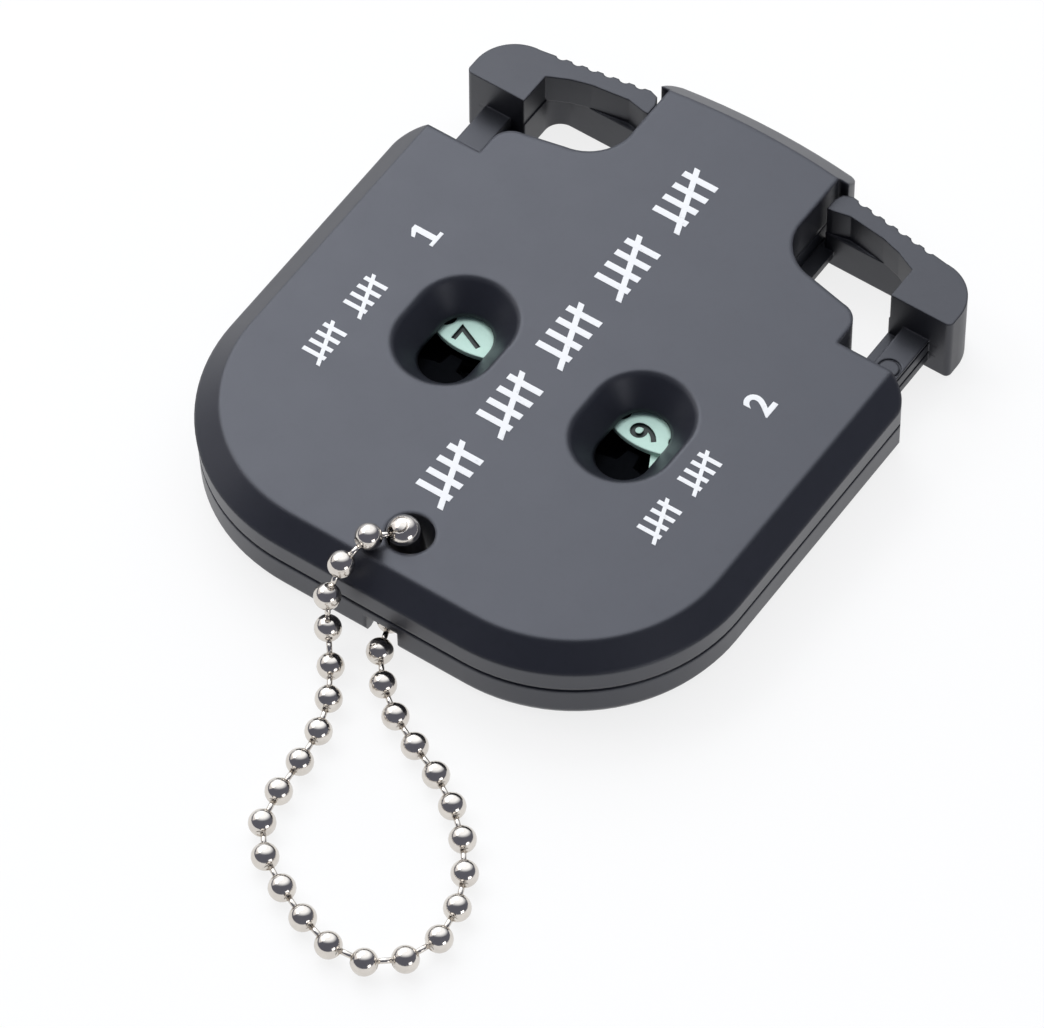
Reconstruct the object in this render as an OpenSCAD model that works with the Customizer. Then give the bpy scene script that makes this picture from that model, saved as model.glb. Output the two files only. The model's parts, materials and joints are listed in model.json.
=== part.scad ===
// Two-player score counter: a flat case with push buttons, number wheels and a ball chain.
// X runs across the case, Y from the chain end to the button end and Z up from the back face.

/* [Output] */

/* [Case] */
// Overall length, chain end to tongue end
case_l = 60.2; // [54:0.2:74]
// Overall width
case_w = 51.6; // [46:0.2:62]
// Thickness
case_t = 8.2; // [7.4:0.1:10]
// Corner radius of the flat top at the chain end
corner_r = 14.4; // [10:0.2:17]
// Width of the bevel round the top
bevel_run = 2.17; // [1.2:0.01:2.6]
// Height of the bevel
bevel_drop = 1.94; // [1.2:0.01:2.3]
// Height of the line where the two shells meet
parting_z = 4.0; // [3.6:0.1:4.2]
// Wall round the side
wall = 1.5; // [1.2:0.1:2]
// Wall under the wheels
back_wall = 1.1; // [0.9:0.1:1.3]
// Wall over the wheels
top_wall = 1.6; // [1.2:0.1:1.9]

/* [Tongue between the buttons] */
// Length of the tongue and its shoulders
tongue_l = 17.55; // [15:0.05:19]
// Width
tongue_w = 17.4; // [14:0.1:18.4]
// Sideways lip at the tongue's end, which stops the buttons
lip_w = 0.9; // [0.5:0.1:1.1]
// Radius of the finger scallop beside the tongue
scallop_r = 4.4; // [3.6:0.1:4.8]
// Radius of the shoulder's corner
shoulder_r = 2.0; // [1.4:0.1:2.2]

/* [Windows] */
// Radius of a window's rim
window_r = 4.64; // [3.8:0.02:5]
// Radius of its throat over the numbers
throat_r = 2.4; // [2:0.1:2.8]
// Straight part between the round ends
window_straight = 2.8; // [2:0.1:3.4]

/* [Buttons] */
// How far a button is pushed in for one count
travel = 3.9; // [3.2:0.1:4.4]
// Gap between the case and a button at rest
reach = 7.45; // [6.6:0.05:8]
// Height of the thumb pad
pad_top = 7.2; // [6.4:0.1:7.4]
// Width of the slide bar
bar_w = 2.55; // [2.2:0.05:2.8]
// Grip grooves on a thumb pad
grooves = 6; // [4:1:7]

/* [Ball chain] */
// Bead diameter
bead_d = 2.36; // [2:0.01:2.9]
// Bead spacing
bead_pitch = 3.4; // [3:0.05:3.8]
// Radius of the chain hole
hole_r = 2.1; // [1.9:0.05:2.3]

/* [Hidden] */
$fn = 64;
eps = 0.01;
play = 0.05; // running clearance of a turning or sliding fit
free = 0.3; // clearance of parts that don't run on each other
bite = 0.02; // how far a line runs into an arc that it meets

// Case outline
half_w = case_w / 2;
half_l = case_l / 2;
flat_hw = half_w - bevel_run;
flat_y0 = -half_l + bevel_run;
bevel_z = case_t - bevel_drop;
draft = 0.2;
seam_h = 0.3;
seam_d = 0.35;
side_grow = bevel_run - draft;
corner_x = flat_hw - corner_r;
corner_y = flat_y0 + corner_r;
end_y = half_l - tongue_l;
end_round = 2.4;
inner_grow = side_grow - wall;
roof_z = case_t - top_wall;

// Tongue outline
tongue_hw = tongue_w / 2;
bow_r = 66;
bow_y = half_l - bevel_run - bow_r;
nose_wall = 1.8;
lip_y = half_l - 2.6;

// Slides, measured in from the case's side
bar_x1 = half_w - 3.05;
bar_x0 = bar_x1 - bar_w;
foot_x = bar_x0 - 1.5;
heel_x = bar_x0 - 2.75;
shoulder_x = bar_x0 - 1.95;
slide_z = back_wall + 0.1;
strip_z = slide_z + 0.8;
bar_z = parting_z - 0.1;
rail_x = tongue_hw - 0.8;
strip_x = rail_x + 2.2;

// Shoulder and scallop arcs and the line that touches both
sh_x = shoulder_x - shoulder_r;
sh_y = end_y + 1.75;
sc_x = tongue_hw + scallop_r - bite;
sc_y = end_y + 8.95;
sh_sc = [sc_x - sh_x, sc_y - sh_y];
touch_a = atan2(sh_sc.y, sh_sc.x) - acos((shoulder_r + scallop_r) / norm(sh_sc));

// Wheels
rim_gap = 2.0;
pawl_gap = 4.2;
wheel_r = min((bar_x0 - pawl_gap - rim_gap) / 2, 0.1642 * (end_y + half_l));
unit = wheel_r / 7;
wheel_x = rim_gap + wheel_r;
units_y = end_y - wall - 1.05 - wheel_r;
tooth_tip = 6.9 * unit;
tooth_root = 5.9 * unit;
carry_tip = 8.3 * unit;
tens_tip = 7.6 * unit;
tens_root = 6.3 * unit;
tens_y = units_y - carry_tip - tens_root - free;
post_r = 1.6 * unit;
boss_k = 2.2;
hub_r = 5.4 * unit;
step_a = 36;

// Heights inside the case, as shares of the room between the walls
room = (roof_z - back_wall) / 5.5;
ratchet_z0 = back_wall + 0.9 * room;
ratchet_z1 = back_wall + 1.85 * room;
carry_z = back_wall + 2.1 * room;
disc_z0 = back_wall + 3.5 * room;
disc_z1 = back_wall + 4.0 * room;
tens_z0 = back_wall + 1.9 * room;
tens_z1 = back_wall + 3.2 * room;
throat_z = back_wall + 4.4 * room;

// Windows
window_x = wheel_x;
window_y = units_y - 1.071 * wheel_r;
window_k = min(unit, 1);

// Chain hole and the groove that leads the chain out under the case
hole_y = -half_l + 6.02;
bead_grow = (bead_d - 2.36) / 2;
way_r = hole_r + bead_grow;
tube_r = way_r + 1.15;
groove_w = bead_d + 0.8;
groove_d = bead_d + 0.35;
groove_a = 10;

// Screws from the back: two in the corners, two in the tongue
screw_spots = [
  [corner_x + 0.52 * corner_r, corner_y - 0.4 * corner_r],
  [tongue_hw - 4.7, end_y + 12.2]
];
boss_r = 2.1;
screw_r = 0.9;
head_r = 1.75;
boss_z = 2.6;

// Buttons
block_y = end_y + reach;
block_x = half_w - 1.0;
block_r = 4.0;
heel_r = 0.5;
back_y = block_y + 5.5;
pad_x = tongue_hw + 0.5;
pad_y = block_y + 5.3;
pad_rise = 1.6;
back_slope = pad_rise / (block_x - block_r - pad_x - 1.2);
groove_pitch = 1.48;
bar_end = units_y - 9.0 * unit;
lug_y1 = end_y - wall - 0.15;
lug_y0 = lug_y1 - 2.6;
spring_d = 2.5;
spring_wire = 0.32;
spring_turns = 9;
spring_y0 = bar_end - 9.2;
mid_z = (slide_z + bar_z) / 2;
spring_x = (bar_x0 + bar_x1) / 2;

// Pawls and detents
pawl_tip_x = wheel_x + 6.05 * unit;
pawl_tip_y = units_y + 6.05 * unit * tan(step_a / 2) + 0.1;
pawl_z0 = ratchet_z0 + 0.05;
pawl_z1 = ratchet_z1 - 0.05;
peg_x = bar_x0 - 1.35;
peg_y = lug_y1 - 1.35;
tens_leaf_x = wheel_x + tens_tip + 0.6;
tens_pin_y = tens_y + tens_tip - 0.9;

// Case body between two heights, grown from the flat top's outline by g0 below and g1 above
module case_layer(z0, z1, g0, g1, y1 = end_y) {
  h = z1 - z0;
  translate([0, 0, z0]) {
    for (s = [-1, 1])
      translate([s * corner_x, corner_y, 0])
        cylinder(h = h, r1 = corner_r + g0, r2 = corner_r + g1);
    translate([0, y1, 0])
      rotate([90, 0, 0])
        linear_extrude(y1 - corner_y)
          polygon([[-flat_hw - g0, 0], [flat_hw + g0, 0], [flat_hw + g1, h], [-flat_hw - g1, h]]);
    translate([-corner_x, 0, 0])
      rotate([90, 0, 90])
        linear_extrude(2 * corner_x)
          polygon([[flat_y0 - g0, 0], [y1, 0], [y1, h], [flat_y0 - g1, h]]);
  }
}

// Shoulders, scallops and tongue in plan, drawn in by d
module nose_plan(d = 0) {
  n = [cos(touch_a), sin(touch_a)];
  difference() {
    union() {
      translate([-tongue_hw + d, end_y - 6])
        square([2 * (tongue_hw - d), tongue_l + 7]);
      for (s = [0, 1])
        mirror([s, 0]) {
          translate([sh_x, sh_y])
            circle(shoulder_r - d);
          polygon([
            [0, end_y - 6],
            [shoulder_x - d, end_y - 6],
            [shoulder_x - d, sh_y],
            [sh_x, sh_y] + (shoulder_r - d - bite) * n,
            [sc_x, sc_y] - (scallop_r + d - bite) * n,
            [tongue_hw - d, sc_y],
            [0, sc_y]
          ]);
        }
    }
    for (s = [-1, 1])
      translate([s * sc_x, sc_y])
        circle(scallop_r + d);
  }
}

// Sideways lips at the tongue's end, with round corners
module lip_plan() {
  r = 1.5;
  x = tongue_hw + lip_w - r;
  y = bow_y + sqrt(pow(bow_r + bevel_run, 2) - x * x) - r + bite;
  difference() {
    translate([-x - r, lip_y])
      square([2 * (x + r), 4]);
    for (s = [0, 1])
      mirror([s, 0])
        translate([x, y])
          difference() {
            square(5);
            circle(r);
          }
  }
}

// Tongue and shoulders between two heights, cut to the bowed end
module nose_layer(z0, z1, g0, g1, d = 0) {
  translate([0, 0, z0])
    intersection() {
      linear_extrude(z1 - z0)
        union() {
          nose_plan(d);
          if (d == 0)
            lip_plan();
        }
      translate([0, bow_y, 0])
        cylinder(h = z1 - z0, r1 = bow_r + g0, r2 = bow_r + g1, $fn = 180);
    }
}

// Outer form between two heights, with the case's end corners rounded
module outer_layer(z0, z1, g0, g1) {
  difference() {
    case_layer(z0, z1, g0, g1);
    for (s = [0, 1])
      mirror([s, 0, 0])
        translate([half_w - end_round, end_y - end_round, z0 - 1])
          difference() {
            cube([end_round + 1, end_round + 1, z1 - z0 + 2]);
            cylinder(h = z1 - z0 + 2, r = end_round);
          }
  }
  nose_layer(z0, z1, g0, g1);
}

// Room inside the case
module cavity(z0, z1) {
  case_layer(z0, z1, inner_grow, inner_grow, end_y - wall);
  difference() {
    nose_layer(z0, z1, -0.2, -0.2, nose_wall);
    for (s = [0, 1])
      mirror([s, 0, 0])
        translate([shoulder_x - nose_wall, end_y - 7, z0 - 1])
          cube([20, 8, z1 - z0 + 2]);
  }
}

// Long hole with flared ends, from radius ra at the bottom to rb at the top
module flare(h, ra, rb) {
  s = window_straight / 2 * window_k;
  for (y = [-s, s])
    translate([0, y, 0])
      cylinder(h = h, r1 = ra, r2 = rb);
  translate([0, s, 0])
    rotate([90, 0, 0])
      linear_extrude(2 * s)
        polygon([[-ra, 0], [ra, 0], [rb, h], [-rb, h]]);
}

// Children at both wheels of a kind
module both_sides() {
  for (s = [0, 1])
    mirror([s, 0, 0])
      children();
}

// Screw positions, all four
module at_screws() {
  both_sides()
    for (p = screw_spots)
      translate([p.x, p.y, 0])
        children();
}

// Chain tunnel: hole through the case and groove out under its end
module chain_way() {
  translate([0, hole_y, -1])
    cylinder(h = case_t + 2, r = way_r);
  translate([0, hole_y, 0])
    rotate([0, 0, groove_a])
      translate([-groove_w / 2, -10, -1])
        cube([groove_w, 10, groove_d + 1]);
}

// Front shell: top face, windows, bearing bosses over the wheels and screw bosses
module front_shell() {
  rise = case_t - throat_z;
  color("#4b4d55")
    difference() {
      union() {
        difference() {
          union() {
            outer_layer(parting_z, bevel_z, side_grow, bevel_run);
            outer_layer(bevel_z, case_t, bevel_run, 0);
          }
          cavity(parting_z - 1, roof_z);
        }
        both_sides() {
          translate([window_x, window_y, throat_z])
            flare(rise - 0.4, (throat_r + 0.7) * window_k, (window_r + 0.5) * window_k);
          translate([wheel_x, units_y, disc_z1 + play * 3])
            cylinder(h = roof_z - disc_z1, r = boss_k * unit);
          translate([wheel_x, tens_y, tens_z1 + play * 3])
            cylinder(h = roof_z - tens_z1, r = boss_k * unit);
        }
        at_screws()
          translate([0, 0, boss_z + play])
            cylinder(h = roof_z - boss_z, r = boss_r);
        translate([0, hole_y, parting_z])
          cylinder(h = roof_z - parting_z + eps, r = tube_r);
      }
      both_sides() {
        translate([window_x, window_y, throat_z - eps])
          flare(rise + 2 * eps, throat_r * window_k, window_r * window_k);
        translate([window_x, window_y, case_t - 0.2])
          flare(0.21, (window_r - 0.14) * window_k, (window_r + 0.1) * window_k);
        for (y = [units_y, tens_y])
          translate([wheel_x, y, tens_z1])
            cylinder(h = roof_z - tens_z1 - 0.2, r = post_r + play);
      }
      at_screws()
        translate([0, 0, boss_z - 1])
          cylinder(h = roof_z - boss_z + 0.6, r = screw_r + 0.02);
      chain_way();
    }
}

// Back shell: tray with wheel posts, slide slots, spring stops and screw holes
module back_shell() {
  color("#43454c")
    difference() {
      union() {
        difference() {
          union() {
            outer_layer(0, 0.35, side_grow - 1.1, side_grow - 0.45);
            outer_layer(0.35, 1.0, side_grow - 0.45, side_grow - 0.12);
            outer_layer(1.0, parting_z - seam_h, side_grow - 0.12, side_grow);
            outer_layer(parting_z - seam_h, parting_z, side_grow - seam_d, side_grow - seam_d);
          }
          cavity(back_wall, parting_z + 1);
        }
        both_sides() {
          wheel_post(units_y, ratchet_z0);
          wheel_post(tens_y, tens_z0);
          slide_stops();
          leaf_posts();
        }
        at_screws()
          cylinder(h = boss_z, r = boss_r);
        intersection() {
          translate([-tube_r - 0.6, -half_l, 0.5])
            cube([2 * tube_r + 2.0, 6.02 + tube_r, parting_z - 0.5]);
          case_layer(0, parting_z, inner_grow + 0.3, inner_grow + 0.3);
        }
      }
      both_sides()
        slide_slots();
      at_screws() {
        translate([0, 0, -1])
          cylinder(h = boss_z + 2, r = screw_r + 0.15);
        translate([0, 0, -1])
          cylinder(h = 2.3, r = head_r + 0.15);
      }
      chain_way();
    }
}

// Post that a wheel turns on, with the shoulder that carries it
module wheel_post(y, shoulder_z) {
  translate([wheel_x, y, back_wall - eps]) {
    cylinder(h = shoulder_z - back_wall - play, r = 2.4 * unit);
    cylinder(h = roof_z - 0.4 - back_wall, r = post_r);
  }
}

// Stops on the back shell: a seat for the return spring and the end of the button's stroke
module slide_stops() {
  translate([bar_x0 - 0.2, spring_y0 - 1.3, back_wall - eps])
    cube([bar_w + 0.4, 1.3, bar_z - back_wall]);
  translate([spring_x, spring_y0 - 1, mid_z])
    rotate([-90, 0, 0])
      cylinder(h = 2.4, r = 0.6);
  translate([bar_x1 + 0.35, lug_y0 - travel - 0.2 - 1.2, back_wall - eps])
    cube([half_w - wall - bar_x1 - 0.2, 1.2, 2.0]);
  for (x = [bar_x0 - 0.6, bar_x1 + play])
    translate([x, units_y - 5, back_wall - eps])
      cube([0.55, 2.4, 1.5]);
}

// Posts that hold the two detent leaves
module leaf_posts() {
  translate([2.3 * unit, lug_y1 + 0.3, back_wall - eps]) {
    cylinder(h = pawl_z0 - play - back_wall, r = 1.2);
    cylinder(h = pawl_z1 + 0.3 - back_wall, r = 0.7);
  }
  translate([tens_leaf_x + 0.2, tens_pin_y, back_wall - eps]) {
    cylinder(h = tens_z0 + 0.1 - play - back_wall, r = 1.1);
    cylinder(h = tens_z1 - back_wall, r = 0.7);
  }
}

// Slots that the slide's bar and strips run through
module slide_slots() {
  translate([bar_x0 - 0.1, end_y - wall - 1, back_wall])
    cube([bar_w + 0.2, wall + 6, parting_z]);
  translate([foot_x - 0.1, end_y - wall - 5, back_wall])
    cube([bar_x0 - foot_x + 0.2, wall + 12, strip_z + 0.1 - back_wall]);
  translate([rail_x - 0.1, end_y + 1, back_wall])
    cube([strip_x - rail_x + 0.2, tongue_l - 3.6, strip_z + 0.1 - back_wall]);
}

// Button in plan with no finger gap: block with a round outer corner and pad with a slanted back
module button_plan() {
  polygon([
    [pad_x, block_y],
    [block_x - heel_r, block_y],
    [block_x - heel_r, block_y + heel_r],
    [block_x, block_y + heel_r],
    [block_x, back_y - block_r],
    [block_x - block_r, back_y - block_r],
    [block_x - block_r, back_y],
    [pad_x + 1.2, back_y + pad_rise],
    [pad_x + 0.35, back_y + pad_rise - 0.3],
    [pad_x, back_y + pad_rise - 1.1]
  ]);
  intersection() {
    translate([block_x - block_r, back_y - block_r])
      circle(block_r);
    translate([block_x - block_r, back_y - block_r])
      square(block_r);
  }
  intersection() {
    translate([block_x - heel_r, block_y + heel_r])
      circle(heel_r);
    translate([block_x - heel_r, block_y])
      square(heel_r);
  }
}

// Finger gap in plan below the parting line
module gap_low() {
  r = 1.6;
  y0 = block_y - 1;
  y1 = pad_y - 0.6;
  translate([pad_x - 1, y0])
    square([foot_x - r - pad_x + 1, y1 - y0]);
  translate([pad_x - 1, y0])
    square([foot_x - pad_x + 1, y1 - r - y0]);
  translate([foot_x - r, y1 - r])
    circle(r);
}

// Finger gap in plan above the parting line, set back behind the lower wall
module gap_high() {
  x = bar_x0 - 1.4;
  polygon([
    [pad_x - 1, block_y - 1],
    [x, block_y - 1],
    [x, block_y + 3.3],
    [x - 1.9, pad_y - 1.1],
    [x - 3.8, pad_y - 0.55],
    [pad_x + 2.2, pad_y - 0.1],
    [pad_x + 0.5, pad_y - 0.45],
    [pad_x - 1, pad_y - 0.5]
  ]);
}

// Button: block, thumb pad, bar and strips in one moulding (right side)
module button_solid() {
  difference() {
    union() {
      translate([0, 0, 0.15])
        linear_extrude(parting_z - 0.15)
          difference() {
            button_plan();
            gap_low();
          }
      translate([0, 0, parting_z - eps])
        linear_extrude(pad_top - parting_z)
          difference() {
            button_plan();
            gap_high();
          }
      translate([bar_x0, bar_end, slide_z])
        cube([bar_w, block_y - bar_end + 1, bar_z - slide_z]);
      translate([foot_x, lug_y0, slide_z])
        cube([bar_x0 - foot_x + 0.5, block_y - lug_y0 + 1, strip_z - slide_z]);
      translate([rail_x, end_y + 1.3, slide_z])
        cube([strip_x - rail_x, pad_y - end_y - 1, strip_z - slide_z]);
      translate([heel_x, lug_y0, slide_z])
        cube([bar_x0 - heel_x + 0.5, lug_y1 - lug_y0, strip_z - slide_z]);
      translate([bar_x1 - eps, lug_y0, slide_z])
        cube([1.0, lug_y1 - lug_y0, 1.9]);
      translate([peg_x, peg_y, slide_z])
        cylinder(h = ratchet_z1 + 0.6 - slide_z, r = 0.65);
      translate([spring_x, bar_end + 1, mid_z])
        rotate([90, 0, 0])
          cylinder(h = 3.2, r = 0.6);
    }
    for (i = [0 : grooves - 1]) {
      along = i * groove_pitch;
      translate([pad_x + 2.3 + along, back_y + pad_rise + 0.2 - along * back_slope, 0.9])
        cylinder(h = 10, r = 0.6, $fn = 24);
    }
    for (z = [slide_z + 0.85, bar_z - 0.55])
      translate([bar_x1 - 0.25, end_y - 3, z])
        cube([1, reach + 3 + eps, 0.35]);
  }
}

// Shallow ring that the mould leaves on top of the right bar
module ring_mark() {
  translate([bar_x0 + 1.4, end_y + 3.0, bar_z - 0.12])
    difference() {
      cylinder(h = 0.3, r = 1.03);
      translate([0, 0, -1])
        cylinder(h = 2, r = 0.86);
    }
}

// Helix of wire along Y as one tube, from y = 0 to y = length
module coil(length, d, wire, turns) {
  per = 14;
  sides = 6;
  n = turns * per;
  r = d / 2 - wire / 2;
  function spot(i) = let (a = 360 * i / per) [r * cos(a), length * i / n, r * sin(a)];
  points = [
    for (i = [0 : n])
      let (a = 360 * i / per, c = spot(i), out = [cos(a), 0, sin(a)])
        for (k = [0 : sides - 1])
          c + wire / 2 * (cos(360 * k / sides) * out + sin(360 * k / sides) * [0, 1, 0])
  ];
  tube = [
    for (i = [0 : n - 1], k = [0 : sides - 1])
      let (a = i * sides + k, b = i * sides + (k + 1) % sides)
        [a, a + sides, b + sides, b]
  ];
  ends = [[for (k = [0 : sides - 1]) k], [for (k = [sides - 1 : -1 : 0]) n * sides + k]];
  polyhedron(points, concat(tube, ends), convexity = 10);
}

// Return spring between the bar's end and its seat (right side)
module spring_solid() {
  translate([spring_x, spring_y0 + wire_gap(), mid_z])
    coil(bar_end - spring_y0 - 2 * wire_gap(), spring_d, spring_wire, spring_turns);
}
function wire_gap() = spring_wire / 2 + play;

// Spring-steel pawl that turns the units wheel one step (right side)
module pawl_solid() {
  t = 0.5;
  root = [peg_x - 0.6, peg_y - 0.9];
  tip = [pawl_tip_x, pawl_tip_y];
  v = tip - root;
  n = [-v.y, v.x] / norm(v) * t / 2;
  translate([0, 0, pawl_z0])
    linear_extrude(pawl_z1 - pawl_z0)
      difference() {
        union() {
          translate([peg_x, peg_y])
            circle(1.25);
          polygon([root + n, root - n, tip - n + [0.35, 0.45], tip, tip + n + [0.1, 0.75]]);
        }
        translate([peg_x, peg_y])
          circle(0.65 + play);
      }
}

// Leaf that stops the units wheel from turning back (right side)
module units_detent_solid() {
  pin = [2.3 * unit, lug_y1 + 0.3];
  tip = [wheel_x - 0.12, units_y + 6.25 * unit];
  v = pin - tip;
  n = [-v.y, v.x] / norm(v) * 0.2;
  translate([0, 0, pawl_z0])
    linear_extrude(pawl_z1 - pawl_z0)
      difference() {
        union() {
          translate(pin)
            circle(1.2);
          polygon([tip, tip + [0, 0.45], pin - n * 1.5, pin + n * 1.5]);
        }
        translate(pin)
          circle(0.7 + play);
      }
}

// Leaf with a nose that holds the tens wheel (right side)
module tens_detent_solid() {
  pin = [tens_leaf_x + 0.2, tens_pin_y];
  y0 = tens_y - 3.4 * unit;
  nose_x = wheel_x + tens_root + 0.35;
  translate([0, 0, tens_z0 + 0.1])
    linear_extrude(tens_z1 - tens_z0 - 0.2)
      difference() {
        union() {
          translate(pin)
            circle(1.15);
          polygon([
            [tens_leaf_x, y0],
            [tens_leaf_x + 0.4, y0],
            [tens_leaf_x + 0.4, tens_pin_y],
            [tens_leaf_x, tens_pin_y],
            [tens_leaf_x, tens_y + 1.25 * unit],
            [nose_x, tens_y + 0.3],
            [nose_x, tens_y - 0.3],
            [tens_leaf_x, tens_y - 1.25 * unit]
          ]);
        }
        translate(pin)
          circle(0.7 + play);
      }
}

// Ten ratchet teeth in plan: radial drive faces with slopes down to the next
module ratchet_plan() {
  steps = 6;
  drop = tooth_tip - tooth_root;
  polygon([
    for (i = [0 : 9], k = [0 : steps])
      let (a = 18 - (i + k / steps) * step_a, r = tooth_tip - drop * k / steps)
        [r * cos(a), r * sin(a)]
  ]);
}

// One carry tooth in plan, pointing along X, from radius root to radius tip
module carry_tooth(root, tip) {
  intersection() {
    circle(tip);
    polygon([
      [4 * unit, -0.95 * unit],
      [root, -0.8 * unit],
      [tip + 0.2, -0.55 * unit],
      [tip + 0.2, 0.55 * unit],
      [root, 0.8 * unit],
      [4 * unit, 0.95 * unit]
    ]);
  }
}

// Ten-tooth ratchet with the hub that carries the number disc (right side)
module ratchet_solid() {
  translate([wheel_x, units_y, 0])
    difference() {
      union() {
        translate([0, 0, ratchet_z0])
          linear_extrude(ratchet_z1 - ratchet_z0)
            ratchet_plan();
        translate([0, 0, ratchet_z1 - eps])
          cylinder(h = disc_z0 - ratchet_z1 + eps, r = hub_r);
      }
      translate([0, 0, ratchet_z0 - 1])
        cylinder(h = 10, r = post_r + play);
    }
}

// Number disc with one carry tooth under its edge (right side)
module dial_solid(carry_a) {
  translate([wheel_x, units_y, 0])
    difference() {
      union() {
        translate([0, 0, disc_z0])
          cylinder(h = disc_z1 - disc_z0, r = wheel_r, $fn = 96);
        rotate([0, 0, -90 + carry_a])
          translate([0, 0, carry_z])
            linear_extrude(disc_z0 - carry_z + eps)
              carry_tooth(wheel_r, carry_tip);
      }
      translate([0, 0, carry_z - 1])
        cylinder(h = disc_z0 - carry_z + 1, r = hub_r + play);
      translate([0, 0, disc_z0 - 1])
        cylinder(h = 10, r = post_r + play);
    }
}

// Tens wheel: number disc with ten carry teeth round it (right side)
module tens_solid() {
  translate([wheel_x, tens_y, tens_z0])
    difference() {
      linear_extrude(tens_z1 - tens_z0)
        union() {
          circle(tens_root);
          for (i = [0 : 9])
            rotate(90 + i * step_a)
              carry_tooth(tens_root, tens_tip);
        }
      translate([0, 0, -1])
        cylinder(h = 10, r = post_r + play);
    }
}

// Chain route, hand-placed: out of the connector, over the end, round the loop and up the hole
route = [
  [-0.4, -24.4, 8.4], [-1.9, -26.6, 9.45], [-2.5, -29.4, 9.3], [-2.95, -31.5, 6.8],
  [-2.85, -32.1, 3.7], [-1.6, -33.5, 1.3], [0.3, -36.2, 1.2], [1.9, -39.2, 1.2],
  [2.6, -42.4, 1.2], [3.0, -46.1, 1.2], [3.3, -49.3, 1.2], [4.5, -52.0, 1.2], [6.9, -54.0, 1.2],
  [10.2, -55.7, 1.2], [13.3, -57.0, 1.2], [16.6, -57.6, 1.2], [19.6, -56.6, 1.2],
  [21.6, -54.1, 1.2], [22.2, -50.7, 1.2], [21.1, -47.3, 1.2], [19.4, -44.2, 1.2],
  [17.0, -41.8, 1.2], [14.3, -39.7, 1.2], [11.2, -38.1, 1.2], [8.0, -36.7, 1.2],
  [5.1, -34.8, 1.2], [2.8, -32.6, 1.2], [1.2, -30.0, 1.2], [0.5, -27.0, 1.2],
  [0.15, -25.2, 1.5], [0, -24.2, 2.7], [0, -24.1, 4.9]
];
shift_y = -half_l + 30.1;
lift_z = case_t - 8.2;
steps_per = 6;

// Smooth curve through the route's points
function pick(i) = let (p = route[max(0, min(len(route) - 1, i))])
  [
    p.x,
    p.y + shift_y - (p.y < -30.5 ? bead_grow : 0),
    p.z + bead_grow + (p.z > 5 ? lift_z : 0)
  ];
function smooth(i, t) = let (a = pick(i - 1), b = pick(i), c = pick(i + 1), d = pick(i + 2))
  0.5 * ((2 * b) + (c - a) * t + (2 * a - 5 * b + 4 * c - d) * t * t + (3 * b - a - 3 * c + d) * t * t * t);
line = [
  for (i = [0 : len(route) - 2], k = [0 : steps_per - 1]) smooth(i, k / steps_per),
  pick(len(route) - 1)
];
function stretch(i) = i + 1 < len(line) ? norm(line[i + 1] - line[i]) : 0;
run = [for (i = 0, s = 0; i < len(line); s = s + stretch(i), i = i + 1) s];
chain_l = run[len(run) - 1];
beads = round(chain_l / bead_pitch) + 1;
function along_x() = [for (i = [0 : len(line) - 1]) [run[i], line[i].x]];
function along_y() = [for (i = [0 : len(line) - 1]) [run[i], line[i].y]];
function along_z() = [for (i = [0 : len(line) - 1]) [run[i], line[i].z]];
bead_at = [
  for (i = [0 : beads - 1])
    let (s = i * chain_l / (beads - 1))
      [lookup(s, along_x()), lookup(s, along_y()), lookup(s, along_z())]
];
function course(i) = bead_at[min(i + 1, beads - 1)] - bead_at[max(i - 1, 0)];
bead_wall = 0.18;
bead_hole = 0.36;

// Children turned so that their Z runs from a to b, standing at a
module aim(a, b) {
  v = b - a;
  translate(a)
    rotate([0, acos(v.z / norm(v)), atan2(v.y, v.x)])
      children();
}

// Hollow beads, each open towards its two neighbours
module chain_beads() {
  color("#b9bcc2")
    for (i = [0 : beads - 1])
      difference() {
        aim(bead_at[i], bead_at[i] + course(i))
          rotate([90, 0, 0])
            difference() {
              sphere(d = bead_d, $fn = 40);
              sphere(r = bead_d / 2 - bead_wall, $fn = 40);
            }
        if (i > 0)
          aim(bead_at[i], bead_at[i - 1])
            cylinder(h = bead_d, r = bead_hole, $fn = 16);
        if (i < beads - 1)
          aim(bead_at[i], bead_at[i + 1])
            cylinder(h = bead_d, r = bead_hole, $fn = 16);
      }
}

// Links with a head inside each of two beads
module chain_links() {
  color("#a9acb2")
    for (i = [0 : beads - 2]) {
      gap = norm(bead_at[i + 1] - bead_at[i]);
      aim(bead_at[i], bead_at[i + 1]) {
        translate([0, 0, 0.32])
          cylinder(h = 0.35, r = 0.43, $fn = 16);
        translate([0, 0, 0.4])
          cylinder(h = gap - 0.8, r = 0.25, $fn = 16);
        translate([0, 0, gap - 0.67])
          cylinder(h = 0.35, r = 0.43, $fn = 16);
      }
    }
}

// Round-ended sleeve standing in the hole, which holds the chain's two end beads
module chain_connector() {
  a = bead_at[0];
  b = bead_at[beads - 1];
  out = bead_at[1] - a;
  r = bead_d / 2 + 0.06;
  t = 0.26;
  color("#b9bcc2")
    difference() {
      aim(b, a)
        capsule(0, norm(a - b), r + t);
      aim(b, a)
        capsule(0, norm(a - b), r);
      translate([a.x, a.y, a.z])
        rotate([0, 0, atan2(out.y, out.x)]) {
          translate([0, -0.4, -bead_d])
            cube([3, 0.8, bead_d + 1.1]);
          translate([0, 0, -bead_d - 0.4])
            rotate([0, 90, 0])
              cylinder(h = 3, r = r - 0.1, $fn = 32);
          rotate([0, 15, 0])
            arc_groove(r + t);
        }
      translate([b.x, b.y, b.z - 3])
        cylinder(h = 3, r = 0.7, $fn = 24);
    }
}

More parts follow.
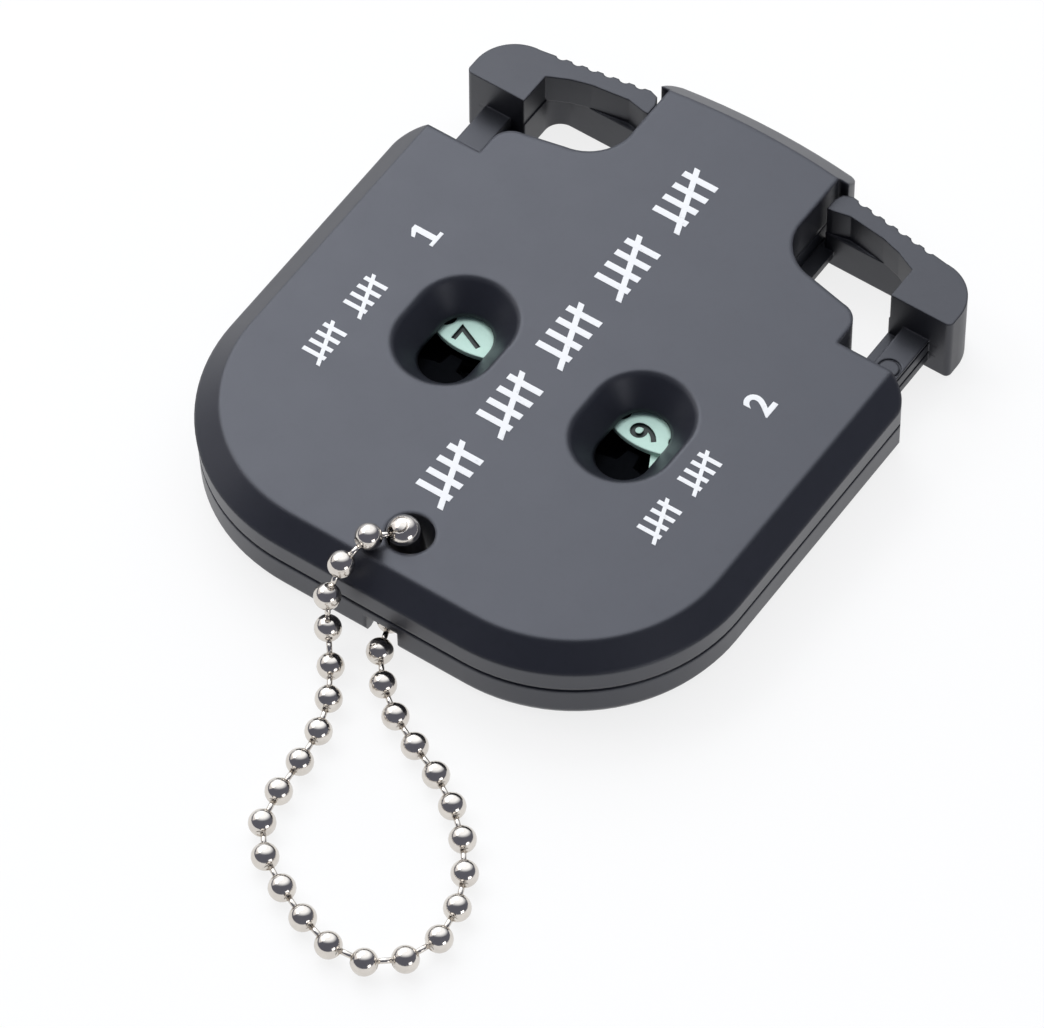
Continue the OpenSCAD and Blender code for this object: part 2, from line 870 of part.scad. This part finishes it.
// Arc that is pressed into the sleeve's round end, open towards the slot
module arc_groove(ball_r) {
  difference() {
    translate([0, 0, ball_r - 0.32])
      cylinder(h = 1, r = 0.78, $fn = 32);
    cylinder(h = 3, r = 0.6, $fn = 32);
    translate([0, -0.35, 0])
      cube([2, 0.7, 3]);
  }
}

// Upright cylinder with round ends, whose end spheres stand at z0 and z1
module capsule(z0, z1, r) {
  translate([0, 0, z0])
    cylinder(h = z1 - z0, r = r, $fn = 40);
  for (z = [z0, z1])
    translate([0, 0, z])
      sphere(r = r, $fn = 40);
}

// Four screws from the back
module case_screws() {
  color("#8c8f94")
    at_screws() {
      translate([0, 0, 0.25])
        cylinder(h = 1.0, r = head_r);
      translate([0, 0, 0.25])
        cylinder(h = roof_z - 1.2, r = screw_r);
    }
}

// Left and right pieces
module right_button() color("#3f4147") difference() {
  button_solid();
  ring_mark();
}
module left_button() color("#3f4147") mirror([1, 0, 0]) button_solid();
module right_button_spring() color("#9a9da3") spring_solid();
module left_button_spring() mirror([1, 0, 0]) right_button_spring();
module right_drive_pawl() color("#c9cbd0") pawl_solid();
module left_drive_pawl() mirror([1, 0, 0]) right_drive_pawl();
module right_units_dial() color("#b8d9cd") dial_solid(18);
module left_units_dial() color("#b8d9cd") mirror([1, 0, 0]) dial_solid(90);
module right_units_ratchet() color("#2b2d33") ratchet_solid();
module left_units_ratchet() mirror([1, 0, 0]) right_units_ratchet();
module right_tens_wheel() color("#2b2d33") tens_solid();
module left_tens_wheel() mirror([1, 0, 0]) right_tens_wheel();
module right_units_detent() color("#c9cbd0") units_detent_solid();
module left_units_detent() mirror([1, 0, 0]) right_units_detent();
module right_tens_detent() color("#c9cbd0") tens_detent_solid();
module left_tens_detent() mirror([1, 0, 0]) right_tens_detent();

front_shell();
back_shell();
left_button();
right_button();
left_button_spring();
right_button_spring();
left_drive_pawl();
right_drive_pawl();
left_units_dial();
right_units_dial();
left_units_ratchet();
right_units_ratchet();
left_tens_wheel();
right_tens_wheel();
left_units_detent();
right_units_detent();
left_tens_detent();
right_tens_detent();
chain_beads();
chain_links();
chain_connector();
case_screws();
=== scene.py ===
import json
import math

import bmesh
import bpy
from mathutils import Matrix, Vector


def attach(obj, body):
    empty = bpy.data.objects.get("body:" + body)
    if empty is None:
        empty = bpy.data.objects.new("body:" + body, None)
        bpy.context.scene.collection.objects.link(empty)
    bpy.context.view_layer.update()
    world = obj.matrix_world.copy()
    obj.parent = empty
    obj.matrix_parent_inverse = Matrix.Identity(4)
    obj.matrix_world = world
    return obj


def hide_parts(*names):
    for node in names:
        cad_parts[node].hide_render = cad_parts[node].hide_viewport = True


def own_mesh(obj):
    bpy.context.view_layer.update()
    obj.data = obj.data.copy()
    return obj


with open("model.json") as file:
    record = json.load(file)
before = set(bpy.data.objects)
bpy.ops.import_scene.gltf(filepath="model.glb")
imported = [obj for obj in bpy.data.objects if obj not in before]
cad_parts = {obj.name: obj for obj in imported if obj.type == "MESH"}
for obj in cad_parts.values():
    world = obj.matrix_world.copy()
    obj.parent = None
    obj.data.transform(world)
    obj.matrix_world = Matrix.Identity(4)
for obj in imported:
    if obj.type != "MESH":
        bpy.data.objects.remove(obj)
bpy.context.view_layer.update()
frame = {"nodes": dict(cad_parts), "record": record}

# Sizes and places are in millimetres, unless they say otherwise
MM = 0.001
nodes = frame["nodes"]

# Points of a built mesh that are nearer than this become one, and edges shorter than this go
MERGE = 0.001
SLIVER = 0.0005

# Case and the print on it
CASE_TOP = 8.2
PRINT_T = 0.03
ONE_PLACE = (-17.0, 2.6)
TWO_PLACE = (16.4, 3.4)
TWO_SIZE = 3.6
TWO_BOLD = 0.09

# Slash of a tally: its ends in pitches of the strokes, its lean by their height, its width by theirs
SLASH_ENDS = (-0.7, 3.9)
SLASH_LEAN = 0.36
SLASH_WIDTH = 0.9
SLASH_T = 0.035

# Screws of the back and their cross recess
SCREWS = ((16.718, -19.29), (4.0, 24.75))
RECESS_SIZE = (2.1, 0.42, 0.9)
RECESS_Z = 0.35
RECESS_TURN = 0.4

# Number wheels and the numerals cut into them
WHEEL_X = 9.0
WHEEL_Y = 3.0
STEP_DEG = 36
NUMERAL_SIZE = 3.6
NUMERAL_BOLD = 0.055
NUMERAL_FLOOR = 4.85
NUMERAL_CUTTER = 0.6

# Return springs
SPRING_AXIS = (21.475, 2.55)
SPRING_ENDS = (-14.969, -6.231)
SPRING_R = 1.09
WIRE_R = 0.158
SPRING_TURNS = 9
STEPS_PER_TURN = 28
WIRE_SIDES = 10

# Ball chain, along its route as in the part's source; a bead's lip is given by the bead's radius
BEAD_D = 2.36
BEAD_PITCH = 3.4
BEAD_SIDES = 24
BEAD_STEPS = 18
LIP_ANGLE = 19
LIP_R = 0.3
LIP_Z = 0.9
LINK_R = 0.25
LINK_INSET = 0.8
LINK_SIDES = 12
ROUTE_STEPS = 6
ROUTE = [
    (-0.4, -24.4, 8.4), (-1.9, -26.6, 9.45), (-2.5, -29.4, 9.3), (-2.95, -31.5, 6.8),
    (-2.85, -32.1, 3.7), (-1.6, -33.5, 1.3), (0.3, -36.2, 1.2), (1.9, -39.2, 1.2),
    (2.6, -42.4, 1.2), (3.0, -46.1, 1.2), (3.3, -49.3, 1.2), (4.5, -52.0, 1.2), (6.9, -54.0, 1.2),
    (10.2, -55.7, 1.2), (13.3, -57.0, 1.2), (16.6, -57.6, 1.2), (19.6, -56.6, 1.2),
    (21.6, -54.1, 1.2), (22.2, -50.7, 1.2), (21.1, -47.3, 1.2), (19.4, -44.2, 1.2),
    (17.0, -41.8, 1.2), (14.3, -39.7, 1.2), (11.2, -38.1, 1.2), (8.0, -36.7, 1.2),
    (5.1, -34.8, 1.2), (2.8, -32.6, 1.2), (1.2, -30.0, 1.2), (0.5, -27.0, 1.2),
    (0.15, -25.2, 1.5), (0, -24.2, 2.7), (0, -24.1, 4.9),
]

# Outline of a footed 1, along and up the numeral
ONE = [
    (-0.85, -1.3), (0.85, -1.3), (0.85, -0.95), (0.3, -0.95), (0.3, 1.3), (-0.2, 1.3),
    (-0.9, 0.85), (-0.9, 0.5), (-0.3, 0.75), (-0.3, -0.95), (-0.85, -0.95),
]

# Camera, solved from the photograph: angles in degrees, place in metres
CAMERA_ANGLES = (34.487, 53.411, 0.098)
CAMERA_PLACE = (0.240185, -0.357408, 0.564161)
CAMERA_LENS = 288.717
SENSOR_WIDTH = 36

# Floor and sky: the floor lies just under the lowest bead, the sky is brightest along its axis
FLOOR_Z = -0.1
FLOOR_SIDE = 4000
FLOOR_GLOW = 0.82
SKY_AXIS = (-0.35, 0.5, 0.79)
SKY_SPAN = (0.52, 0.84)
SKY_DIM = (0.09, 0.094, 0.118, 1)
SKY_BRIGHT = (0.93, 0.96, 1, 1)
SKY_STRENGTH = 1.55

# Tint of the black plastics' shine
COOL = (0.89, 0.91, 1)


def make_camera():
    """Camera at the photograph's place, looking its way."""
    azimuth, elevation, roll = map(math.radians, CAMERA_ANGLES)
    forward = Vector((
        -math.sin(azimuth) * math.cos(elevation),
        math.cos(azimuth) * math.cos(elevation),
        -math.sin(elevation),
    ))
    right = Vector((math.cos(azimuth), math.sin(azimuth), 0))
    down = forward.cross(right)
    x = math.cos(roll) * right + math.sin(roll) * down
    y = math.sin(roll) * right - math.cos(roll) * down
    data = bpy.data.cameras.new("camera")
    data.lens = CAMERA_LENS
    data.sensor_width = SENSOR_WIDTH
    data.sensor_fit = "HORIZONTAL"
    data.clip_start = 0.01
    data.clip_end = 20
    camera = bpy.data.objects.new("camera", data)
    turn = Matrix((x, y, -forward)).transposed().to_4x4()
    camera.matrix_world = Matrix.Translation(CAMERA_PLACE) @ turn
    bpy.context.scene.collection.objects.link(camera)
    bpy.context.scene.camera = camera


# Node-tree helpers
def new_material(name):
    """New material, with its tree and its main shader."""
    material = bpy.data.materials.new(name)
    material.use_nodes = True
    tree = material.node_tree
    return material, tree, tree.nodes["Principled BSDF"]


def add(tree, kind, **values):
    """New node, with values for its sockets or its own settings."""
    made = tree.nodes.new(kind)
    for key, value in values.items():
        if key in made.inputs:
            made.inputs[key].default_value = value
        else:
            setattr(made, key, value)
    return made


def noise(tree, scale, detail, rough=0.5):
    """Noise in the object's own space."""
    where = add(tree, "ShaderNodeTexCoord")
    made = add(tree, "ShaderNodeTexNoise", Scale=scale, Detail=detail, Roughness=rough)
    tree.links.new(where.outputs["Object"], made.inputs["Vector"])
    return made


def ramp(tree, source, low, high, low_at=0.35, high_at=0.65):
    """Colour that goes from low to high with the source."""
    made = add(tree, "ShaderNodeValToRGB")
    for stop, place, color in zip(made.color_ramp.elements, (low_at, high_at), (low, high)):
        stop.position = place
        stop.color = color
    tree.links.new(source, made.inputs["Fac"])
    return made


def grey(value):
    return (value, value, value, 1)


def mixed(tree, share, first, second, end):
    """Mixes two shaders by a share and leads them to the end node."""
    mix = add(tree, "ShaderNodeMixShader")
    for socket, source in zip(mix.inputs, (share, first, second)):
        tree.links.new(source, socket)
    tree.links.new(mix.outputs[0], tree.nodes[end].inputs["Surface"])


def surface(tree, shader, edge, samples, grain, detail, strength, height):
    """Softened edges with a fine grain on them."""
    soft = add(tree, "ShaderNodeBevel", samples=samples, Radius=edge)
    fine = noise(tree, grain, detail)
    bump = add(tree, "ShaderNodeBump", Strength=strength, Distance=height)
    tree.links.new(fine.outputs["Fac"], bump.inputs["Height"])
    tree.links.new(soft.outputs["Normal"], bump.inputs["Normal"])
    tree.links.new(bump.outputs["Normal"], shader.inputs["Normal"])


def plastic(name, low, high, rough, specular=0.5, tint=(1, 1, 1), edge=0.00022):
    """Moulded plastic: faint specks in its colour, nearly even gloss, fine grain and softened edges."""
    material, tree, shader = new_material(name)
    shader.inputs["Specular IOR Level"].default_value = specular
    shader.inputs["Specular Tint"].default_value = (*tint, 1)
    specks = noise(tree, 1400, 5, 0.7)
    body = ramp(tree, specks.outputs["Fac"], (*low, 1), (*high, 1), 0.28, 0.5)
    tree.links.new(body.outputs["Color"], shader.inputs["Base Color"])
    gloss = noise(tree, 320, 4, 0.6)
    sheen = ramp(tree, gloss.outputs["Fac"], grey(rough - 0.008), grey(rough + 0.012))
    tree.links.new(sheen.outputs["Color"], shader.inputs["Roughness"])
    surface(tree, shader, edge, samples=6, grain=4200, detail=2, strength=0.3, height=0.000006)
    return material


def metal(name, low, high, rough):
    """Metal with faint colour change, smears in its polish and a fine grain."""
    material, tree, shader = new_material(name)
    shader.inputs["Metallic"].default_value = 1
    smear = noise(tree, 700, 4, 0.6)
    tint = ramp(tree, smear.outputs["Fac"], (*low, 1), (*high, 1))
    tree.links.new(tint.outputs["Color"], shader.inputs["Base Color"])
    polish = noise(tree, 1500, 4, 0.65)
    sheen = ramp(tree, polish.outputs["Fac"], grey(rough), grey(rough + 0.05))
    tree.links.new(sheen.outputs["Color"], shader.inputs["Roughness"])
    surface(tree, shader, 0.00005, samples=4, grain=2500, detail=3, strength=0.15, height=0.00001)
    return material


def print_ink():
    """White print, thin in places."""
    material, tree, shader = new_material("print_ink")
    wear = noise(tree, 1800, 5, 0.7)
    tint = ramp(tree, wear.outputs["Fac"], grey(0.62), grey(0.86), 0.22, 0.4)
    tree.links.new(tint.outputs["Color"], shader.inputs["Base Color"])
    shader.inputs["Roughness"].default_value = 0.42
    return material


# Pieces and their meshes
def dress(node, material):
    """Gives a CAD node its finish."""
    obj = nodes[node]
    obj.data.materials.clear()
    obj.data.materials.append(material)


def piece_from(name, mesh, body, material=None):
    """Shows a mesh as a piece that rides on a body."""
    obj = bpy.data.objects.new(name, mesh)
    if material:
        mesh.materials.append(material)
    bpy.context.scene.collection.objects.link(obj)
    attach(obj, body)
    return obj


def mesh_from(name, bm, smooth=False):
    """Turns built faces into a mesh, with its faces outwards."""
    bmesh.ops.recalc_face_normals(bm, faces=bm.faces)
    mesh = bpy.data.meshes.new(name)
    bm.to_mesh(mesh)
    bm.free()
    for face in mesh.polygons:
        face.use_smooth = smooth
    return mesh


def circle(bm, centre, turn, radius, count, z=0.0):
    """Ring of points round the turned Z axis through a centre."""
    return [
        bm.verts.new((centre + turn @ Vector((
            radius * math.cos(math.tau * j / count), radius * math.sin(math.tau * j / count), z,
        ))) * MM)
        for j in range(count)
    ]


def skin(bm, rings):
    """Closed shape over rings of as many points each."""
    for low, high in zip(rings, rings[1:]):
        for j in range(len(low)):
            k = (j + 1) % len(low)
            bm.faces.new((low[j], low[k], high[k], high[j]))
    bm.faces.new(rings[0])
    bm.faces.new(rings[-1])


def cut_copy(node, cutter_bm, materials, cut_slot):
    """Mesh of a CAD node with the cutter's shapes cut out of it, the cut faces in their own material."""
    cutter = bpy.data.objects.new("cutter", mesh_from("cutter", cutter_bm))
    blank = bpy.data.objects.new("blank", nodes[node].data.copy())
    for obj in (cutter, blank):
        obj.data.materials.clear()
        for material in materials:
            obj.data.materials.append(material)
        bpy.context.scene.collection.objects.link(obj)
    for face in cutter.data.polygons:
        face.material_index = cut_slot
    cut = blank.modifiers.new("cut", "BOOLEAN")
    cut.operation = "DIFFERENCE"
    cut.solver = "EXACT"
    cut.use_self = True
    cut.object = cutter
    bpy.context.view_layer.update()
    mesh = bpy.data.meshes.new_from_object(blank.evaluated_get(bpy.context.evaluated_depsgraph_get()))
    bpy.data.objects.remove(blank)
    bpy.data.objects.remove(cutter)
    bm = bmesh.new()
    bm.from_mesh(mesh)
    bmesh.ops.remove_doubles(bm, verts=bm.verts, dist=MERGE * MM)
    bmesh.ops.dissolve_degenerate(bm, edges=bm.edges, dist=SLIVER * MM)
    bm.to_mesh(mesh)
    bm.free()
    return mesh


# Ball chain
def chain_line():
    """Smooth curve through the route, as a list of points."""
    points = [Vector(p) for p in ROUTE]
    last = len(points) - 1
    line = []
    for i in range(last):
        a, b, c, d = (points[max(0, min(last, i + k))] for k in (-1, 0, 1, 2))
        for k in range(ROUTE_STEPS):
            t = k / ROUTE_STEPS
            square = 2 * a - 5 * b + 4 * c - d
            cube = 3 * b - a - 3 * c + d
            line.append(0.5 * (2 * b + (c - a) * t + square * t**2 + cube * t**3))
    return line + [points[-1]]


def bead_places(line):
    """Bead centres at even steps along the line, and the line's length."""
    run = [0.0]
    for a, b in zip(line, line[1:]):
        run.append(run[-1] + (b - a).length)
    count = round(run[-1] / BEAD_PITCH) + 1
    places = []
    k = 0
    for i in range(count):
        s = min(i * run[-1] / (count - 1), run[-1])
        while k < len(run) - 2 and run[k + 1] < s:
            k += 1
        t = (s - run[k]) / (run[k + 1] - run[k])
        places.append(line[k].lerp(line[k + 1], t))
    return places, run[-1]


def bead_profile():
    """Radius and height of a bead's rings: a ball with a rolled lip at both openings."""
    r = BEAD_D / 2
    span = 180 - 2 * LIP_ANGLE
    angles = [math.radians(LIP_ANGLE + span * k / BEAD_STEPS) for k in range(BEAD_STEPS + 1)]
    ball = [(r * math.sin(a), r * math.cos(a)) for a in angles]
    return [(LIP_R * r, LIP_Z * r), *ball, (LIP_R * r, -LIP_Z * r)]


def ball_chain(material):
    """Polished beads and the rods between them, as one mesh."""
    line = chain_line()
    places, length = bead_places(line)
    profile = bead_profile()
    bm = bmesh.new()
    for i, place in enumerate(places):
        ahead = places[min(i + 1, len(places) - 1)] - places[max(i - 1, 0)]
        turn = ahead.to_track_quat("Z", "Y").to_matrix()
        skin(bm, [circle(bm, place, turn, radius, BEAD_SIDES, z) for radius, z in profile])
    for a, b in zip(places, places[1:]):
        way = (b - a).normalized()
        turn = way.to_track_quat("Z", "Y").to_matrix()
        ends = (a + way * LINK_INSET, b - way * LINK_INSET)
        skin(bm, [circle(bm, end, turn, LINK_R, LINK_SIDES) for end in ends])
    chain = piece_from("ball_chain", mesh_from("ball_chain", bm, True), "case", material)
    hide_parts("chain_beads", "chain_links")


# Numerals and print
def text_mesh(text, size, thick, bold):
    """Numeral from the built-in font as a closed solid, centred in plan and standing on z = 0."""
    curve = bpy.data.curves.new("numeral", "FONT")
    curve.body = text
    curve.size = size * MM
    curve.offset = bold * MM
    curve.resolution_u = 5
    holder = bpy.data.objects.new("numeral", curve)
    bpy.context.scene.collection.objects.link(holder)
    bpy.context.view_layer.update()
    mesh = bpy.data.meshes.new_from_object(holder.evaluated_get(bpy.context.evaluated_depsgraph_get()))
    bpy.data.objects.remove(holder)
    bm = bmesh.new()
    bm.from_mesh(mesh)
    bpy.data.meshes.remove(mesh)
    bmesh.ops.remove_doubles(bm, verts=bm.verts, dist=MERGE * MM)
    made = bmesh.ops.extrude_face_region(bm, geom=bm.faces[:], use_keep_orig=True)
    top = [part for part in made["geom"] if isinstance(part, bmesh.types.BMVert)]
    bmesh.ops.translate(bm, verts=top, vec=Vector((0, 0, thick * MM)))
    xs = [v.co.x for v in bm.verts]
    ys = [v.co.y for v in bm.verts]
    middle = Vector(((min(xs) + max(xs)) / 2, (min(ys) + max(ys)) / 2, 0))
    bmesh.ops.translate(bm, verts=bm.verts, vec=-middle)
    bmesh.ops.recalc_face_normals(bm, faces=bm.faces)
    return bm


def put_in(whole, one, place):
    """Adds a small mesh to a larger one at its place."""
    bmesh.ops.transform(one, matrix=place, verts=one.verts)
    part = bpy.data.meshes.new("part")
    one.to_mesh(part)
    one.free()
    whole.from_mesh(part)
    bpy.data.meshes.remove(part)


def upright(x, y, z):
    """Place of a numeral whose top points to -X."""
    return Matrix.Translation(Vector((x, y, z)) * MM) @ Matrix.Rotation(math.pi / 2, 4, "Z")


def engraved_dial(side, shown, spot, materials):
    """A number disc with ten inked numerals cut into it; the shown one stands in the window."""
    body = "right_units" if side > 0 else "left_units"
    hub = Matrix.Translation(Vector((side * WHEEL_X, WHEEL_Y, 0)) * MM)
    numerals = bmesh.new()
    for digit in range(10):
        turn = math.radians(side * STEP_DEG * ((digit - shown) % 10))
        place = hub @ Matrix.Rotation(turn, 4, "Z") @ upright(*spot, NUMERAL_FLOOR)
        put_in(numerals, text_mesh(str(digit), NUMERAL_SIZE, NUMERAL_CUTTER, NUMERAL_BOLD), place)
    mesh = cut_copy(body + "_dial", numerals, materials, 1)
    piece = piece_from(body + "_engraved_dial", mesh, body)
    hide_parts(body + "_dial")


def slab(bm, corners, thick=PRINT_T):
    """Thin flat shape on the case from plan corners."""
    skin(bm, [
        [bm.verts.new(Vector((x, y, z)) * MM) for x, y in corners]
        for z in (CASE_TOP, CASE_TOP + thick)
    ])


def tally(bm, start, height, pitch, stroke, groups, gap):
    """Tally marks along +Y whose tops point to -X: four strokes and a slash in each group."""
    x, y = start
    x0, x1 = x - height / 2, x + height / 2
    lean = SLASH_LEAN * height
    wide = SLASH_WIDTH * stroke
    for g in range(groups):
        y0 = y + g * (5 * pitch + gap)
        for k in range(4):
            a = y0 + k * pitch
            slab(bm, [(x0, a), (x1, a), (x1, a + stroke), (x0, a + stroke)])
        y1, y2 = (y0 + end * pitch for end in SLASH_ENDS)
        slab(bm, [(x + lean, y1), (x + lean + wide, y1), (x - lean + wide, y2), (x - lean, y2)], SLASH_T)


def case_print(material):
    """Generic marks where the object is printed: tallies, and a numeral for each player."""
    bm = bmesh.new()
    tally(bm, (-0.9, -19.6), height=3.4, pitch=1.5, stroke=0.62, groups=5, gap=1.3)
    tally(bm, (-17.4, -13.4), height=2.3, pitch=1.0, stroke=0.42, groups=2, gap=1.0)
    tally(bm, (16.2, -13.0), height=2.3, pitch=1.0, stroke=0.42, groups=2, gap=1.0)
    x, y = ONE_PLACE
    slab(bm, [(x - v, y + u) for u, v in ONE])
    put_in(bm, text_mesh("2", TWO_SIZE, PRINT_T, TWO_BOLD), upright(*TWO_PLACE, CASE_TOP))
    piece_from("case_print", mesh_from("case_print", bm), "case", material=material)


# Screws of the back
def screw_heads(material):
    """The four screws with a cross recess cut into each head."""
    bm = bmesh.new()
    size = Matrix.Diagonal(Vector(RECESS_SIZE) * MM).to_4x4()
    for side in (-1, 1):
        for x, y in SCREWS:
            spot = Matrix.Translation(Vector((side * x, y, RECESS_Z)) * MM)
            for turn in (RECESS_TURN, RECESS_TURN + math.pi / 2):
                bmesh.ops.create_cube(bm, size=1, matrix=spot @ Matrix.Rotation(turn, 4, "Z") @ size)
    piece = piece_from("cross_screws", cut_copy("case_screws", bm, [material], 0), "case")
    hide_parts("case_screws")


# Return springs
def return_spring(side, material):
    """Round wire wound from the case's seat towards the button."""
    hand = "right" if side > 0 else "left"
    x, z = SPRING_AXIS
    middle = Vector((side * x, 0, z))
    along = Vector((0, 1, 0))
    low, high = SPRING_ENDS
    count = SPRING_TURNS * STEPS_PER_TURN
    bm = bmesh.new()
    rings = []
    for i in range(count + 1):
        a = math.tau * i / STEPS_PER_TURN
        out = Vector((math.cos(a), 0, math.sin(a)))
        centre = middle + SPRING_R * out + (low + (high - low) * i / count) * along
        rings.append([
            bm.verts.new((centre + WIRE_R * (math.cos(b) * out + math.sin(b) * along)) * MM)
            for b in (math.tau * j / WIRE_SIDES for j in range(WIRE_SIDES))
        ])
    skin(bm, rings)
    name = hand + "_return_spring"
    piece = piece_from(name, mesh_from(name, bm, True), "case", material)
    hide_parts(hand + "_button_spring")
    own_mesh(piece)


# Floor and light
def make_floor():
    """Plain floor that the camera and shiny things see nearly white, with the object's shadow."""
    bpy.ops.mesh.primitive_plane_add(size=FLOOR_SIDE * MM, location=(0, 0, FLOOR_Z * MM))
    floor = bpy.context.object
    floor.name = "floor"
    material, tree, shader = new_material("floor")
    shader.inputs["Base Color"].default_value = grey(0.97)
    shader.inputs["Roughness"].default_value = 0.85
    shader.inputs["Specular IOR Level"].default_value = 0.1
    seen = add(tree, "ShaderNodeLightPath")
    either = add(tree, "ShaderNodeMath", operation="MAXIMUM")
    tree.links.new(seen.outputs["Is Camera Ray"], either.inputs[0])
    tree.links.new(seen.outputs["Is Glossy Ray"], either.inputs[1])
    share = add(tree, "ShaderNodeMath", operation="MULTIPLY")
    tree.links.new(either.outputs[0], share.inputs[0])
    share.inputs[1].default_value = FLOOR_GLOW
    glow = add(tree, "ShaderNodeEmission", Color=grey(1.0), Strength=1.0)
    mixed(tree, share.outputs[0], shader.outputs[0], glow.outputs[0], "Material Output")
    floor.data.materials.append(material)


def make_sky():
    """Soft sky with a bright side, white where the camera sees it."""
    world = bpy.data.worlds.new("world")
    bpy.context.scene.world = world
    world.use_nodes = True
    tree = world.node_tree
    where = add(tree, "ShaderNodeTexCoord")
    near = add(tree, "ShaderNodeVectorMath", operation="DOT_PRODUCT")
    tree.links.new(where.outputs["Generated"], near.inputs[0])
    near.inputs[1].default_value = SKY_AXIS
    sky = ramp(tree, near.outputs["Value"], SKY_DIM, SKY_BRIGHT, *SKY_SPAN)
    light = tree.nodes["Background"]
    tree.links.new(sky.outputs["Color"], light.inputs["Color"])
    light.inputs["Strength"].default_value = SKY_STRENGTH
    seen = add(tree, "ShaderNodeLightPath")
    white = add(tree, "ShaderNodeBackground", Color=grey(1.0), Strength=1.0)
    mixed(tree, seen.outputs["Is Camera Ray"], light.outputs[0], white.outputs[0], "World Output")


def area_light(name, place, size, watts, color=(1, 1, 1)):
    """Rectangular lamp that faces the object, with its place and size in metres."""
    data = bpy.data.lights.new(name, "AREA")
    data.shape = "RECTANGLE"
    data.size, data.size_y = size
    data.energy = watts
    data.color = color
    light = bpy.data.objects.new(name, data)
    place = Vector(place)
    light.matrix_world = Matrix.Translation(place) @ (-place).to_track_quat("-Z", "Y").to_matrix().to_4x4()
    bpy.context.scene.collection.objects.link(light)


def make_lamps():
    """Key lamp from behind on the left, a smaller lamp on each side and a wide fill from the left."""
    area_light("key", (-0.4, 0.3, 0.5), (0.36, 0.4), 1.5, (0.94, 0.96, 1))
    area_light("left", (-0.49, -0.15, 0.61), (0.24, 0.24), 0.6)
    area_light("right", (0.68, -0.22, 0.14), (0.3, 0.2), 0.6)
    area_light("fill", (-0.75, -0.12, 0.42), (0.7, 0.5), 0.85, (1, 0.97, 0.94))


# Finishes, by the record's material slots: each has its darkest and its lightest colour
CASE = plastic(
    "case_plastic", (0.0115, 0.0125, 0.018), (0.0135, 0.0145, 0.021),
    rough=0.38, specular=0.68, tint=COOL, edge=0.0005,
)
BUTTON = plastic(
    "button_plastic", (0.011, 0.0115, 0.015), (0.0135, 0.014, 0.018),
    rough=0.42, specular=0.64, tint=COOL,
)
MINT = plastic("mint_plastic", (0.52, 0.76, 0.65), (0.57, 0.81, 0.7), rough=0.45)
# Black plastic of the wheels under the windows. Its near-black colour and near-zero shine are partly
# painted shade, set to match the deep shade inside the windows.
DARK_PLASTIC_AS_SHADE = plastic("dark_plastic", (0.002, 0.0024, 0.003), (0.003, 0.0035, 0.0045), rough=0.85, specular=0.02)
SPRING = metal("spring_steel", (0.55, 0.55, 0.57), (0.64, 0.64, 0.66), rough=0.24)
NICKEL = metal("chain_nickel", (0.64, 0.6, 0.555), (0.71, 0.67, 0.62), rough=0.1)
SCREW = metal("screw_steel", (0.5, 0.5, 0.52), (0.6, 0.6, 0.62), rough=0.3)
NUMBER_INK = plastic(
    "number_ink", (0.012, 0.02, 0.018), (0.018, 0.028, 0.025),
    rough=0.45, specular=0.4, edge=0.00004,
)
FINISHES = {
    "case_plastic": CASE, "button_plastic": BUTTON, "mint_plastic": MINT, "dark_plastic": DARK_PLASTIC_AS_SHADE,
    "spring_steel": SPRING, "chain_nickel": NICKEL, "screw_steel": SCREW,
}
for part in frame["record"]["subparts"]:
    dress(part["node"], FINISHES[part["material_slot"]])

make_camera()
ball_chain(NICKEL)
screw_heads(SCREW)
engraved_dial(side=1, shown=9, spot=(-0.1, -5.55), materials=[MINT, NUMBER_INK])
engraved_dial(side=-1, shown=7, spot=(0.05, -5.5), materials=[MINT, NUMBER_INK])
return_spring(1, SPRING)
return_spring(-1, SPRING)
case_print(print_ink())
make_floor()
make_sky()
make_lamps()
bpy.context.scene.view_settings.view_transform = "Standard"
